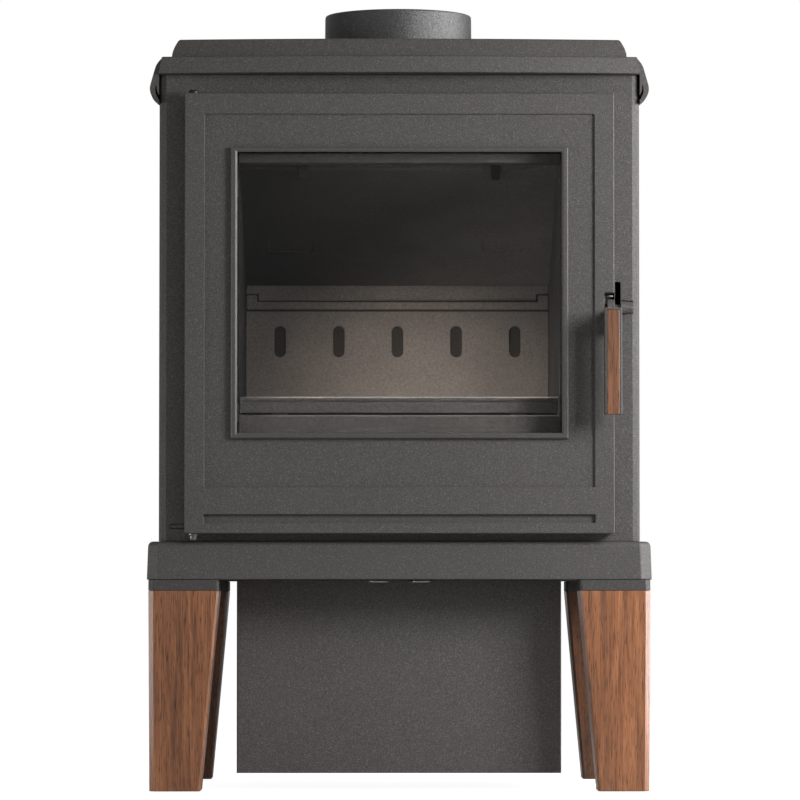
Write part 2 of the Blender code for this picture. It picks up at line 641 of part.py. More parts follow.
make_legs()
make_base()
make_plinth_screen()
make_air_controls()
make_body()
make_top()
make_firebox()
make_door()
make_handle()
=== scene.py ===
"""Looks of a cast wood burning stove on walnut legs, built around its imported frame.

Depths are measured back from the front face of the stove's body, and all sizes are in metres. A slab's
outline is a function of its inset, so that one function can round both of its edges.
"""
import json
import math

import bmesh
import bpy
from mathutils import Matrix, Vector


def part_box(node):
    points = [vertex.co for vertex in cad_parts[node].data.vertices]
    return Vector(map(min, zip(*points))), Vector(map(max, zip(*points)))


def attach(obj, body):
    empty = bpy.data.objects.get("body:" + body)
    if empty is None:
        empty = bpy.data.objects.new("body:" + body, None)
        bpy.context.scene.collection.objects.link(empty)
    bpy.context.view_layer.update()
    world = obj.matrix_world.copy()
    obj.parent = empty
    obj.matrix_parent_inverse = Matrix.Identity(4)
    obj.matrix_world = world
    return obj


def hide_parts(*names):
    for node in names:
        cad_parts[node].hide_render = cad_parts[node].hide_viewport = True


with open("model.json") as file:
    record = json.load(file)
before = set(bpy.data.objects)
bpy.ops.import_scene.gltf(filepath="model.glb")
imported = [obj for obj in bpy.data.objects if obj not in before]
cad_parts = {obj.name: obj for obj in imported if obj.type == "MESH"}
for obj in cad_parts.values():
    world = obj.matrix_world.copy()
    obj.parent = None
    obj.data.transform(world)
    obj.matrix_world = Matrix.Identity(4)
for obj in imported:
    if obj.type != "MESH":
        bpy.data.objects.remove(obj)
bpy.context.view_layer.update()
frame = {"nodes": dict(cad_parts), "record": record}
SCENE = bpy.context.scene
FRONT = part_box("front_plate")[0].y
SLOTS = {part["node"]: part["material_slot"] for part in frame["record"]["subparts"]}
HANDS = (("left", -1), ("right", 1))
FLUE = (0, 0.205, 0)         # middle of the flue way: x, depth, base height
FLUE_BORE = 0.0685           # radius of the way through the lid and the tier
HINGE = (-0.2055, -0.014)    # the door's upright axis: x and depth
SHAFT = (0, -0.011, 0.4824)  # the handle's level axis: base x, depth and height
PIN_BORE = 0.0033            # radius of the holes for the hinge pins and the handle's pin
THROUGH = 0.1                # reach of a tool that cuts right through
LID = (0.7165, 0.7333)       # bottom and top of the lid's plate
WIDE = (0.3, 0.7)            # the range that a noise mostly fills


def span(node):
    """The X, depth and Z spans of a CAD node."""
    low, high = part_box(node)
    return (low.x, high.x), (low.y - FRONT, high.y - FRONT), (low.z, high.z)


# -------------------------------- mesh tools
def link(name, data):
    """A new object in the scene."""
    obj = bpy.data.objects.new(name, data)
    SCENE.collection.objects.link(obj)
    return obj


def make(name, verts, faces):
    """An object from points and faces, welded and turned outwards."""
    mesh = bpy.data.meshes.new(name)
    mesh.from_pydata([tuple(v) for v in verts], [], faces)
    shape = bmesh.new()
    shape.from_mesh(mesh)
    bmesh.ops.remove_doubles(shape, verts=shape.verts, dist=1e-6)
    bmesh.ops.recalc_face_normals(shape, faces=shape.faces)
    shape.to_mesh(mesh)
    shape.free()
    return link(name, mesh)


def loft(name, loops, closed=False):
    """Skins loops of equal length, then caps both ends or joins them to each other."""
    count = len(loops[0])
    verts = [p for loop in loops for p in loop]
    faces = []
    for i in range(len(loops) if closed else len(loops) - 1):
        a, b = i * count, (i + 1) % len(loops) * count
        faces += [(a + j, a + (j + 1) % count, b + (j + 1) % count, b + j) for j in range(count)]
    if not closed:
        faces += [tuple(range(count)), tuple(range(len(verts) - count, len(verts)))]
    return make(name, verts, faces)


def spot(axis, u, v, w):
    """A point w along an axis: u and v are x and depth, x and z, or depth and z."""
    return {"Z": (u, FRONT + v, w), "Y": (u, FRONT + w, v), "X": (w, FRONT + u, v)}[axis]


def arc(centre, radius, start, end, steps):
    """Points on an arc between two angles in degrees."""
    angles = [math.radians(start + (end - start) * i / steps) for i in range(steps + 1)]
    return [(centre[0] + radius * math.cos(a), centre[1] + radius * math.sin(a)) for a in angles]


def rect(u, v, corner=0.0, steps=1):
    """A rectangle with square, chamfered or rounded corners, as a function of its inset."""
    def points(inset):
        (ul, uh), (vl, vh) = (u[0] + inset, u[1] - inset), (v[0] + inset, v[1] - inset)
        if not corner:
            return [(uh, vh), (ul, vh), (ul, vl), (uh, vl)]
        r = max(corner - inset * 0.6, corner * 0.2)
        return (arc((uh - r, vh - r), r, 0, 90, steps) + arc((ul + r, vh - r), r, 90, 180, steps)
                + arc((ul + r, vl + r), r, 180, 270, steps) + arc((uh - r, vl + r), r, 270, 360, steps))
    return points


def levels(low, high, round_low, round_high, steps=3):
    """(height, inset) pairs from one face to the other, with rounded edges."""
    turns = [math.radians(90 * i / steps) for i in range(steps + 1)]
    start = [(low + round_low * (1 - math.cos(t)), round_low * (1 - math.sin(t))) for t in turns]
    end = [(high - round_high * (1 - math.cos(t)), round_high * (1 - math.sin(t))) for t in turns[::-1]]
    return (start if round_low else [(low, 0)]) + (end if round_high else [(high, 0)])


def slab(name, points, axis, ends, rounds=(0.0, 0.0), steps=3):
    """A plate of some outline between two heights on an axis, its edges rounded."""
    loops = [[spot(axis, u, v, w) for u, v in points(inset)]
             for w, inset in levels(*ends, *rounds, steps)]
    return loft(name, loops)


def block(name, x, d, z):
    """A plain box from its three spans."""
    return slab(name, rect(x, d), "Z", z)


def fixed(points):
    """An outline that doesn't change with its inset."""
    return lambda inset: points


def lathe(name, profile, centre, axis="Z", steps=48):
    """Turns (radius, height) points about an axis through centre = (x, depth, z)."""
    cx, cd, cz = centre
    mid = {"Z": (cx, cd), "Y": (cx, cz), "X": (cd, cz)}[axis]
    base = {"Z": cz, "Y": cd, "X": cx}[axis]
    loops = []
    for i in range(steps):
        a = math.tau * i / steps
        loops.append([spot(axis, mid[0] + r * math.cos(a), mid[1] + r * math.sin(a), base + h)
                      for r, h in profile])
    count = len(profile)
    verts = [p for loop in loops for p in loop]
    faces = []
    whole = profile[0][0] > 0
    for i in range(steps):
        a, b = i * count, (i + 1) % steps * count
        for j in range(count if whole else count - 1):
            k = (j + 1) % count
            faces.append((a + j, a + k, b + k, b + j))
    return make(name, verts, faces)


def bore(radius, low, high, centre, axis="Z", steps=24):
    """A round tool between two heights on an axis."""
    return lathe("bore", [(0, low), (radius, low), (radius, high), (0, high)], centre, axis, steps)


def turned(low, high, radius, face, ease):
    """Profile of a pin whose ends are eased down to a smaller face."""
    return [(0, low), (face, low), (radius, low + ease), (radius, high - ease), (face, high), (0, high)]


def tube(name, path, radius, sides):
    """A round cord along a closed path of points that lies in the XZ plane."""
    loops, back = [], Vector((0, 1, 0))
    angles = [math.tau * k / sides for k in range(sides)]
    for i, point in enumerate(path):
        along = (Vector(path[(i + 1) % len(path)]) - Vector(path[i - 1])).normalized()
        side = along.cross(back)
        loops.append([Vector(point) + radius * (math.cos(a) * side + math.sin(a) * back) for a in angles])
    return loft(name, loops, closed=True)


def bake(obj):
    """Applies an object's modifiers to its mesh."""
    graph = bpy.context.evaluated_depsgraph_get()
    mesh = bpy.data.meshes.new_from_object(obj.evaluated_get(graph))
    obj.modifiers.clear()
    obj.data = mesh
    return obj


def boolean(obj, others, operation="DIFFERENCE"):
    """Cuts others out of obj, or joins them to it, and drops them."""
    for other in others:
        step = obj.modifiers.new("cut", "BOOLEAN")
        step.operation = operation
        step.object = other
        step.solver = "EXACT"
    bake(obj)
    for other in others:
        bpy.data.objects.remove(other)
    return obj


def join(obj, *others):
    """Makes several closed meshes one."""
    return boolean(obj, others, "UNION")


def cut(obj, *others):
    """Takes tools out of a closed mesh."""
    return boolean(obj, others)


def bevel(obj, width, segments, angle):
    """Rounds the edges where faces meet at more than an angle."""
    edges = obj.modifiers.new("edges", "BEVEL")
    edges.width = width
    edges.segments = segments
    edges.limit_method = "ANGLE"
    edges.angle_limit = math.radians(angle)
    return edges


def facet(obj, sharp=18):
    """Smooth shading that keeps the flats flat."""
    smooth(obj, sharp)
    obj.modifiers.new("normals", "WEIGHTED_NORMAL").keep_sharp = True
    return obj


def soften(obj, width, segments, angle=35, sharp=18):
    """Rounds the sharp edges and keeps the flats flat in the shading."""
    bevel(obj, width, segments, angle).miter_outer = "MITER_ARC"
    return facet(obj, sharp)


def group(name, pieces):
    """Several meshes as one piece."""
    shape = bmesh.new()
    for piece in pieces:
        shape.from_mesh(piece.data)
        bpy.data.objects.remove(piece)
    mesh = bpy.data.meshes.new(name)
    shape.to_mesh(mesh)
    shape.free()
    return link(name, mesh)


def smooth(obj, sharp=40):
    """Smooth shading with sharp edges where faces meet at more than an angle."""
    obj.data.shade_smooth()
    obj.data.set_sharp_from_angle(angle=math.radians(sharp))
    return obj


def screw(centre, axis, radius, height):
    """A socket-headed screw whose head stands out along an axis."""
    section = ((0, 0.35), (0.42, 0.35), (0.5, 1), (0.8, 1), (1, 0.6), (1, -0.3), (0, -0.3))
    return lathe("screw", [(radius * out, height * up) for out, up in section], centre, axis, 20)


def pair(low, high):
    """Left and right spans of a mirrored pair."""
    return (-high, -low), (low, high)


def add(obj, body, material, *nodes):
    """Gives a piece its finish and its body, and hides the CAD nodes it stands for."""
    obj.data.materials.clear()
    obj.data.materials.append(material)
    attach(obj, body)
    if nodes:
        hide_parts(*nodes)
    return obj


# -------------------------------- materials
class Finish:
    """A Principled material with small helpers for its procedural nodes."""

    def __init__(self, name, **values):
        self.mat = bpy.data.materials.new(name)
        self.mat.use_nodes = True
        tree = self.mat.node_tree
        self.nodes, self.links = tree.nodes, tree.links
        self.shader = self.nodes["Principled BSDF"]
        for key, value in values.items():
            self.shader.inputs[key.replace("_", " ").title().replace("Ior", "IOR")].default_value = value
        self.place = self.node("TexCoord").outputs["Object"]

    def feed(self, socket, value):
        """Gives an input a link or a plain value."""
        if isinstance(value, bpy.types.NodeSocket):
            self.links.new(value, socket)
        else:
            socket.default_value = value

    def node(self, kind, **inputs):
        """A new node with its named inputs fed."""
        node = self.nodes.new("ShaderNode" + kind)
        for key, value in inputs.items():
            self.feed(node.inputs[key.replace("_", " ")], value)
        return node

    def maths(self, operation, a, b, kind="Math"):
        """Two values or numbers put together."""
        node = self.node(kind)
        node.operation = operation
        for socket, value in zip(node.inputs, (a, b)):
            self.feed(socket, value)
        return node.outputs[0]

    def stretch(self, scale):
        """The surface position squeezed along its axes."""
        return self.maths("MULTIPLY", self.place, scale, "VectorMath")

    def noise(self, scale, detail=2.0, rough=0.5, vector=None, distortion=0.0):
        """Soft random values over the surface."""
        node = self.node("TexNoise", Scale=scale, Detail=detail, Roughness=rough, Distortion=distortion,
                         Vector=vector or self.place)
        return node.outputs["Fac"]

    def flakes(self, scale):
        """A random value for each small grain."""
        grains = self.node("TexVoronoi", Scale=scale, Vector=self.place)
        return self.node("SeparateColor", Color=grains.outputs["Color"]).outputs[0]

    def remap(self, value, low, high, to_low, to_high):
        """A value moved from one range to another and held inside it."""
        node = self.node("MapRange", Value=value, From_Min=low, From_Max=high, To_Min=to_low, To_Max=to_high)
        return node.outputs["Result"]

    def spread(self, noise, low, high):
        """A noise that varies between two numbers."""
        return self.remap(noise, *WIDE, low, high)

    def shade(self, colour, factor):
        """A colour made lighter or darker by a factor."""
        node = self.node("VectorMath")
        node.operation = "SCALE"
        self.feed(node.inputs[0], colour)
        self.feed(node.inputs["Scale"], factor)
        return node.outputs[0]

    def ramp(self, value, stops):
        """A colour for a value, blended between (place, colour) stops."""
        node = self.node("ValToRGB", Fac=value)
        line = node.color_ramp
        while len(line.elements) < len(stops):
            line.elements.new(0.5)
        for element, (place, colour) in zip(line.elements, stops):
            element.position = place
            element.color = (*colour, 1.0)
        return node.outputs["Color"]

    def colour(self, source):
        """Sets the base colour."""
        self.feed(self.shader.inputs["Base Color"], source)

    def rough(self, source):
        """Sets the roughness."""
        self.feed(self.shader.inputs["Roughness"], source)

    def bump(self, height, distance, strength=1.0):
        """Raised detail; several calls stack on each other."""
        node = self.node("Bump", Strength=strength, Distance=distance, Height=height)
        target = self.shader.inputs["Normal"]
        if target.links:
            self.feed(node.inputs["Normal"], target.links[0].from_socket)
        self.feed(target, node.outputs["Normal"])


def painted(name, colour, rough, grain=1.0, specular=0.5):
    """Heat-proof paint over cast iron: fine grit, pale flakes and faint mottling."""
    f = Finish(name, specular_ior_level=specular)
    grit = f.noise(1050, 2, 0.7)
    flake = f.remap(f.flakes(1150), 0.86, 1.0, 0.0, 0.75 * grain)
    tone = f.spread(grit, 1 - 0.50 * grain, 1 + 0.40 * grain)
    broad = f.spread(f.noise(9, 3), 0.97, 1.03)
    f.colour(f.shade(colour, f.maths("MULTIPLY", f.maths("ADD", tone, flake), broad)))
    f.rough(f.spread(f.noise(300, 2), rough - 0.05, rough + 0.07))
    f.bump(f.noise(700, 3, 0.65), 0.0004 * grain, 0.7)
    f.bump(f.noise(1700, 1), 0.00012, 0.6 * grain)
    return f.mat


def cast(name, colour, rough, scale=1.0, painted_side_shade=None):
    """Bare or lined casting: coarse moulded grain with soot in the hollows.

    The side-shade tones, if given, are the left, middle and right tones of a casting: painted shade that
    darkens one side and lightens the other.
    """
    f = Finish(name, specular_ior_level=0.3)
    grain = f.noise(330 * scale, 4, 0.65)
    soot_and_shade = f.noise(24, 4)
    tone = f.maths("MULTIPLY", f.spread(grain, 0.72, 1.25), f.spread(soot_and_shade, 0.9, 1.08))
    if painted_side_shade:
        split = f.node("SeparateXYZ", Vector=f.place)
        across = f.remap(split.outputs["X"], -0.14, 0.14, 0.0, 1.0)
        side = f.ramp(across, [(i / 2, (level,) * 3) for i, level in enumerate(painted_side_shade)])
        tone = f.maths("MULTIPLY", tone, side)
    f.colour(f.shade(colour, tone))
    f.rough(f.spread(grain, rough - 0.08, rough + 0.08))
    f.bump(grain, 0.0012, 0.7)
    f.bump(f.noise(60, 3), 0.002, 0.35)
    return f.mat


def walnut(name, depth):
    """Oiled walnut with upright grain, dark pores and slow bands; a smaller depth gives darker wood, which
    the rear legs use as painted shade.
    """
    f = Finish(name, specular_ior_level=0.45, coat_weight=1.0, coat_roughness=0.16)
    bands = f.noise(1, 3, 0.55, f.stretch((150, 150, 6.0)), 0.8)
    fine = f.noise(1, 3, 0.65, f.stretch((820, 820, 20)), 0.4)
    pores = f.noise(1, 2, 0.55, f.stretch((1250, 1250, 62)), 0.3)
    tint = f.ramp(f.maths("ADD", f.maths("MULTIPLY", bands, 0.5), f.maths("MULTIPLY", fine, 0.5)), (
        (0.34, (0.150, 0.053, 0.020)), (0.45, (0.275, 0.101, 0.038)), (0.55, (0.370, 0.141, 0.055)),
        (0.68, (0.486, 0.200, 0.082))))
    streak = f.remap(pores, 0.545, 0.66, 1.0, 0.33)
    slow = f.remap(f.noise(1, 2, 0.5, f.stretch((45, 45, 2.5))), 0.35, 0.65, 0.86 * depth, 1.12 * depth)
    f.colour(f.shade(tint, f.maths("MULTIPLY", streak, slow)))
    f.rough(f.spread(fine, 0.46, 0.6))
    f.bump(fine, 0.0003, 0.5)
    f.bump(pores, 0.0004, 0.4)
    return f.mat


def steel(name, colour, rough, brushed=True):
    """Turned or drawn steel with fine drawing lines and small smudges."""
    f = Finish(name, metallic=1.0)
    lines = f.noise(1, 2, 0.6, f.stretch((300, 300, 2600) if brushed else (700, 700, 700)))
    smudge = f.noise(90, 3)
    f.colour(f.shade(colour, f.spread(lines, 0.88, 1.1)))
    f.rough(f.spread(smudge, rough - 0.06, rough + 0.1))
    f.bump(lines, 0.00005, 0.5)
    return f.mat


def rope():
    """Woven glass rope: crossed strands with fuzz."""
    f = Finish("rope_seal", roughness=0.95, specular_ior_level=0.2)
    waves = []
    for tilt in ((1.0, 0.6, 1.0), (1.0, -0.6, 1.0), (-1.0, 0.6, 1.0)):
        node = f.node("TexWave", Scale=120, Distortion=0.8, Vector=f.stretch(tilt))
        waves.append(node.outputs["Fac"])
    weave = f.maths("MAXIMUM", f.maths("MAXIMUM", waves[0], waves[1]), waves[2])
    f.colour(f.shade((0.075, 0.072, 0.068), f.remap(weave, 0.0, 1.0, 0.45, 1.2)))
    f.bump(weave, 0.0010, 0.8)
    f.bump(f.noise(1600, 2), 0.0002, 0.5)
    return f.mat


def ceramic_glass():
    """A clear ceramic pane with the faintest haze, coated against glare; lamps shine through it."""
    f = Finish("ceramic_glass", base_color=(0.93, 0.92, 0.90, 1.0), ior=1.25, transmission_weight=1.0)
    f.rough(f.spread(f.noise(14, 3), 0.0, 0.03))
    mixed = f.node("MixShader", Fac=f.node("LightPath").outputs["Is Shadow Ray"])
    f.feed(mixed.inputs[1], f.shader.outputs[0])
    f.feed(mixed.inputs[2], f.node("BsdfTransparent").outputs[0])
    f.feed(f.nodes["Material Output"].inputs["Surface"], mixed.outputs[0])
    return f.mat


def floor_finish():
    """A white studio floor that adds little light from below."""
    f = Finish("floor", roughness=0.8, specular_ior_level=0.1, emission_color=(1.0, 1.0, 1.0, 1.0))
    glow = f.maths("MULTIPLY", f.node("LightPath").outputs["Is Camera Ray"], 0.93)
    f.feed(f.shader.inputs["Emission Strength"], glow)
    f.colour(f.shade((0.40, 0.40, 0.40), f.spread(f.noise(3, 2), 0.99, 1.0)))
    return f.mat


PAINT = (0.0925, 0.0865, 0.083)
GRAPHITE = painted("graphite_paint", PAINT, 0.52)
# The graphite paint made lighter for the screen: painted light that lifts it in the shade under the base.
LIGHTENED_SHEET = painted("lightened_sheet_paint", (0.112, 0.1045, 0.101), 0.52)
SHADE = painted("cap_paint", (0.070, 0.066, 0.0635), 0.52)
BEAD = painted("bead_paint", PAINT, 0.34, grain=0.7)
COLLAR = painted("collar_paint", (0.058, 0.0565, 0.0555), 0.40, grain=1.6, specular=1.0)
FIREBOX = cast("firebox_iron", (0.070, 0.066, 0.063), 0.75)
# Near-black iron for pieces that stand in for shade: pocket and cup floors, jet plugs, the ledge groove, the
# baffle lugs and the guard's web.
PAINTED_SHADE = cast("painted_shade_iron", (0.022, 0.020, 0.018), 0.85, 1.3)
# Near-black finish for the left side lining: painted shade where lamp light would otherwise reach it.
PAINTED_DEEP_SHADE = cast("deep_shade_paint", (0.008, 0.0075, 0.007), 0.9, 1.3)
# Baffle iron darkened towards the left and lightened towards the right: painted shade and light across it.
BAFFLE = cast("baffle_iron", (0.150, 0.142, 0.136), 0.75, painted_side_shade=(0.14, 0.44, 1.0))
GUARD = cast("guard_iron", (0.074, 0.070, 0.067), 0.42)
LINING = cast("cast_lining", (0.145, 0.134, 0.126), 0.85, 1.3)
WALNUT = walnut("walnut", 1.10)
# Darker walnut for the rear legs: painted shade, as they stand behind the front ones.
BACK_LEG = walnut("shaded_walnut", 0.45)
GRIP = walnut("grip_walnut", 0.74)
BRIGHT = steel("bright_steel", (0.44, 0.44, 0.44), 0.3)
DULL = steel("dull_steel", (0.24, 0.24, 0.24), 0.35)
DARK = steel("dark_steel", (0.075, 0.074, 0.073), 0.45, brushed=False)
ROPE = rope()
GLASS = ceramic_glass()
FINISHES = dict(
    graphite_paint=GRAPHITE, collar_paint=COLLAR, firebox_iron=FIREBOX, cast_lining=LINING, walnut=WALNUT,
    bright_steel=BRIGHT, dark_steel=DARK, rope_seal=ROPE, ceramic_glass=GLASS)


# -------------------------------- legs and base
def leg_plan(across, along, side, inset):
    """Outline of a leg: broad flats on its two outer corners and narrow ones on the inner two."""
    (left, right), (front, back) = [(low + inset, high - inset) for low, high in (across, along)]
    broad, slim = 0.0048, 0.0024
    a, b = (broad, slim) if side == "left" else (slim, broad)
    return [(left + a, front), (right - b, front), (right, front + b), (right, back - b),
            (right - b, back), (left + a, back), (left, back - a), (left, front + a)]


def make_legs():
    """Tapered walnut legs with flat corners and eased feet, each under a painted cap."""
    foot, draft = 0.0512, 0.0013
    seat = 0.00028  # each leg and cap reaches up to close the gap over it
    for end in ("front", "rear"):
        for side in ("left", "right"):
            x, d, z = span(f"leg_{end}_{side}")
            foot_x = (x[1] - draft - foot, x[1] - draft) if side == "right" else (
                x[0] + draft, x[0] + draft + foot)
            foot_d = (d[0], d[0] + foot) if end == "front" else (d[1] - foot, d[1])
            loops = []
            for height, inset in levels(*z, 0.0007, 0, 1) + [(z[1], 0.0010), (z[1] + seat, 0.0010)]:
                t = height / z[1]
                u, v = [[a + (b - a) * t for a, b in zip(low, high)]
                        for low, high in ((foot_x, x), (foot_d, d))]
                loops.append([spot("Z", *p, height) for p in leg_plan(u, v, side, inset)])
            leg = soften(loft(f"walnut_leg_{end}_{side}", loops), 0.0003, 1, 25)
            # The rear legs take the darker walnut as painted shade.
            add(leg, "stove", WALNUT if end == "front" else BACK_LEG, f"leg_{end}_{side}")
            x, d, z = span(f"leg_cap_{end}_{side}")
            plan = leg_plan(x, d, side, 0)
            loops = [[spot("Z", *p, height) for p in plan] for height in (z[0], z[1] + seat)]
            cap = soften(loft(f"cap_{end}_{side}", loops), 0.0003, 1, 25)
            add(cap, "stove", SHADE, f"leg_cap_{end}_{side}")


def make_base():
    """The base tray: drafted sides, flat corners and a rounded top edge."""
    x, d, z = span("base_plate")
    draft, corner, wall = 0.00138, 0.011, 0.007
    loops = []
    for height, inset in levels(*z, 0, 0.0050, 5):
        half = x[1] - draft * (height - z[0]) / (z[1] - z[0])
        loops.append([spot("Z", *p, height) for p in rect((-half, half), d, corner)(inset)])
    base = loft("base_casting", loops)
    inside = (0.2, z[1] - 0.0068)
    pockets = [block("pocket", (-0.140, 0.140), (d[0] + wall, d[1] - wall), inside)]
    for wide in pair(0.165, 0.243):
        pockets.append(block("pocket", wide, (0.075, 0.329), inside))
    add(soften(cut(base, *pockets), 0.0009, 3, 35, 32), "stove", GRAPHITE, "base_plate")


def make_screen():
    """A folded sheet screen with a hem at the floor and a flange under the base."""
    x, d, z = span("plinth_screen")
    half, bend, inner_face = x[1], 0.002, 0.0023

    def fold(inset, inner, bottom, top):
        """A band of sheet along the front and both sides, between two insets."""
        front = d[0] + inset
        path = arc((-half + inset + bend, front + bend), bend, 180, 270, 4)
        path += arc((half - inset - bend, front + bend), bend, 270, 360, 4)
        back = [(half - inset, d[1]), (half - inner, d[1]), (half - inner, d[0] + inner),
                (-half + inner, d[0] + inner), (-half + inner, d[1]), (-half + inset, d[1])]
        return slab("fold", fixed(path + back), "Z", (bottom, top))

    flange = fold(inner_face, 0.025, z[1] - 0.0025, z[1])
    hem = fold(inner_face, 0.012, z[0] + 0.0005, z[0] + 0.0028)
    sheet = join(fold(0, 0.0025, *z), flange, hem)
    sheet.name = "folded_screen"
    add(soften(sheet, 0.0004, 2), "stove", LIGHTENED_SHEET, "plinth_screen")


def make_knobs():
    """Turned steel knobs with eased rims and a shallow dimple below."""
    for kind in ("primary", "secondary"):
        x, d, (low, high) = span(f"{kind}_air_knob")
        centre = (sum(x) / 2, sum(d) / 2, 0)
        ease, flat, dimple = 0.0012, 0.0098, 0.0003
        rim = arc((flat, low + ease), ease, 270, 360, 4) + arc((flat, high - ease), ease, 0, 90, 4)
        face = [(0, low + dimple), (0.004, low + dimple), (0.0045, low)]
        knob = lathe(f"{kind}_knob", face + rim + [(0, high)], centre)
        add(smooth(knob, 50), f"{kind}_slide", BRIGHT, f"{kind}_air_knob")


# -------------------------------- body
def make_body():
    """Front casting with two-facet corners, sides with a sunk field, and the rear panel."""
    x, d, z = span("front_plate")
    half, turn = x[1], 0.0073
    plan = arc((-half + turn, turn), turn, 180, 270, 2) + arc((half - turn, turn), turn, 270, 360, 2)
    front = slab("front_casting", fixed(plan + [(half, d[1]), (-half, d[1])]), "Z", z)
    cone_seat = [(0.2220, 0.4757), (0.2220, 0.4903), (0.2338, 0.4892), (0.2338, 0.4768)]
    openings = (
        ("opening", rect((-0.182, 0.182), (0.292, 0.668), 0.006, 4), THROUGH),
        ("latch", rect((0.2156, 0.2212), (0.455, 0.5084), 0.0012, 2), THROUGH),
        ("leaf_seat", rect((-0.2297, -0.1985), (0.2614, 0.2662), 0.0022, 4), 0.0016),
        ("pocket", rect((0.2062, 0.2150), (0.4805, 0.4972)), 0.0050),
        ("cup", fixed(cone_seat), 0.0025))
    tools = [slab(name, outline, "Y", (-THROUGH, floor)) for name, outline, floor in openings]
    front = soften(cut(front, *tools), 0.0005, 2, 35, 12)
    add(front, "stove", GRAPHITE, "front_plate")
    # Near-black floors in the latch pocket and the cone's cup: painted shade for the deep recesses by the
    # handle.
    pocket_floor = slab("floor", rect((0.2064, 0.2148), (0.4807, 0.4970)), "Y", (0.0040, 0.0048))
    cup_floor = slab("floor", fixed(cone_seat), "Y", (0.0016, 0.0023))
    add(group("latch_painted_shade", [pocket_floor, cup_floor]), "stove", PAINTED_SHADE, "front_plate")
    for side, hand in HANDS:
        x, d, z = span(f"side_panel_{side}")
        panel = block(f"side_casting_{side}", x, d, z)
        face = x[0] if hand < 0 else x[1]
        field = rect((d[0] + 0.034, d[1] - 0.040), (z[0] + 0.045, z[1] - 0.055), 0.004, 3)
        sunk = slab("sunk", field, "X", sorted((face - hand * 0.0013, face + hand * THROUGH)))
        add(soften(cut(panel, sunk), 0.0007, 3), "stove", GRAPHITE, f"side_panel_{side}")
    make_rear()


def make_rear():
    """Rear heat shield: pressed fields, two rows of louvres, screws and the flue cover."""
    x, d, z = span("rear_panel")
    face, bend, beyond = d[1], 0.003, 1.0
    outline = [(x[0], d[0]), (x[1], d[0])] + arc((x[1] - bend, face - bend), bend, 0, 90, 3)
    outline += arc((x[0] + bend, face - bend), bend, 90, 180, 3)
    panel = slab("rear_shield", fixed(outline), "Z", z)
    field = rect((x[0] + 0.028, x[1] - 0.028), (z[0] + 0.024, 0.518), 0.012, 5)
    tools = [slab("field", field, "Y", (face - 0.0014, beyond))]
    long, tall = 0.045, 0.0028
    for row in (0.300, 0.316, 0.332, 0.460, 0.476, 0.492):
        for middle in (-0.120, 0, 0.120):
            louvre = rect((middle - long, middle + long), (row - tall, row + tall), 0.0027, 4)
            tools.append(slab("louvre", louvre, "Y", (face - 0.0038, beyond)))
    panel = soften(cut(panel, *tools), 0.0006, 2)
    add(panel, "stove", GRAPHITE, "rear_panel")
    edge, bottom, middle_row, top = 0.014, z[0] + 0.012, 0.536, z[1] - 0.014
    places = [(across, up) for across in (x[0] + edge, 0, x[1] - edge) for up in (bottom, middle_row, top)
              if across or up == bottom]
    heads = [screw((across, face, up), "Y", 0.0042, 0.0022) for across, up in places]
    add(smooth(group("rear_screws", heads)), "stove", DARK)
    make_flue_cover()


def make_flue_cover():
    """Pressed disc over the rear flue outlet, held by a bolt on a washer."""
    x, (low, high), z = span("rear_flue_cover")
    middle, radius, dish = (0, 0, sum(z) / 2), x[1], high - 0.0012
    profile = [(0, low), (radius, low), (radius, high - 0.0030), (radius - 0.0008, high - 0.001),
               (radius - 0.0030, high - 0.0004), (radius - 0.010, high), (radius - 0.014, dish),
               (0.020, dish), (0.017, high), (0, high)]
    disc = lathe("blanking_disc", profile, middle, "Y", 72)
    add(smooth(disc), "stove", GRAPHITE, "rear_flue_cover")
    _, (low, high), z = span("rear_cover_bolt")
    hexagon = arc((0, sum(z) / 2), 0.008, 0, 300, 5)
    bolt = slab("cover_bolt", fixed(hexagon), "Y", (low + 0.0008, high))
    top = low + 0.0010
    profile = [(0, low), (0.0098, low), (0.0102, low + 0.0005), (0.0095, top), (0, top)]
    washer = lathe("washer", profile, middle, "Y", 32)
    add(soften(join(bolt, washer), 0.0006, 2), "stove", DARK, "rear_cover_bolt")


# -------------------------------- top
def bowed(half, front, back):
    """Plan of a top plate whose front bows forward, as a function of its inset."""
    bulge, steps = 0.013, 16

    def points(inset):
        across = [i / steps - 1 for i in range(2 * steps + 1)]
        edge = [((half - inset) * u, front + inset - bulge * (1 - u * u)) for u in across]
        return edge + [(half - inset, back - inset), (inset - half, back - inset)]
    return points


def curve(points, steps=4):
    """A smooth open line through points."""
    ends = [points[0]] + list(points) + [points[-1]]
    line = []
    for a, b, c, e in zip(ends, ends[1:], ends[2:], ends[3:]):
        for i in range(steps):
            t = i / steps
            line.append(tuple(0.5 * (2 * q + (r - p) * t + (2 * p - 5 * q + 4 * r - s) * t * t
                                     + (3 * q - p - 3 * r + s) * t ** 3)
                              for p, q, r, s in zip(a, b, c, e)))
    return line + [points[-1]]


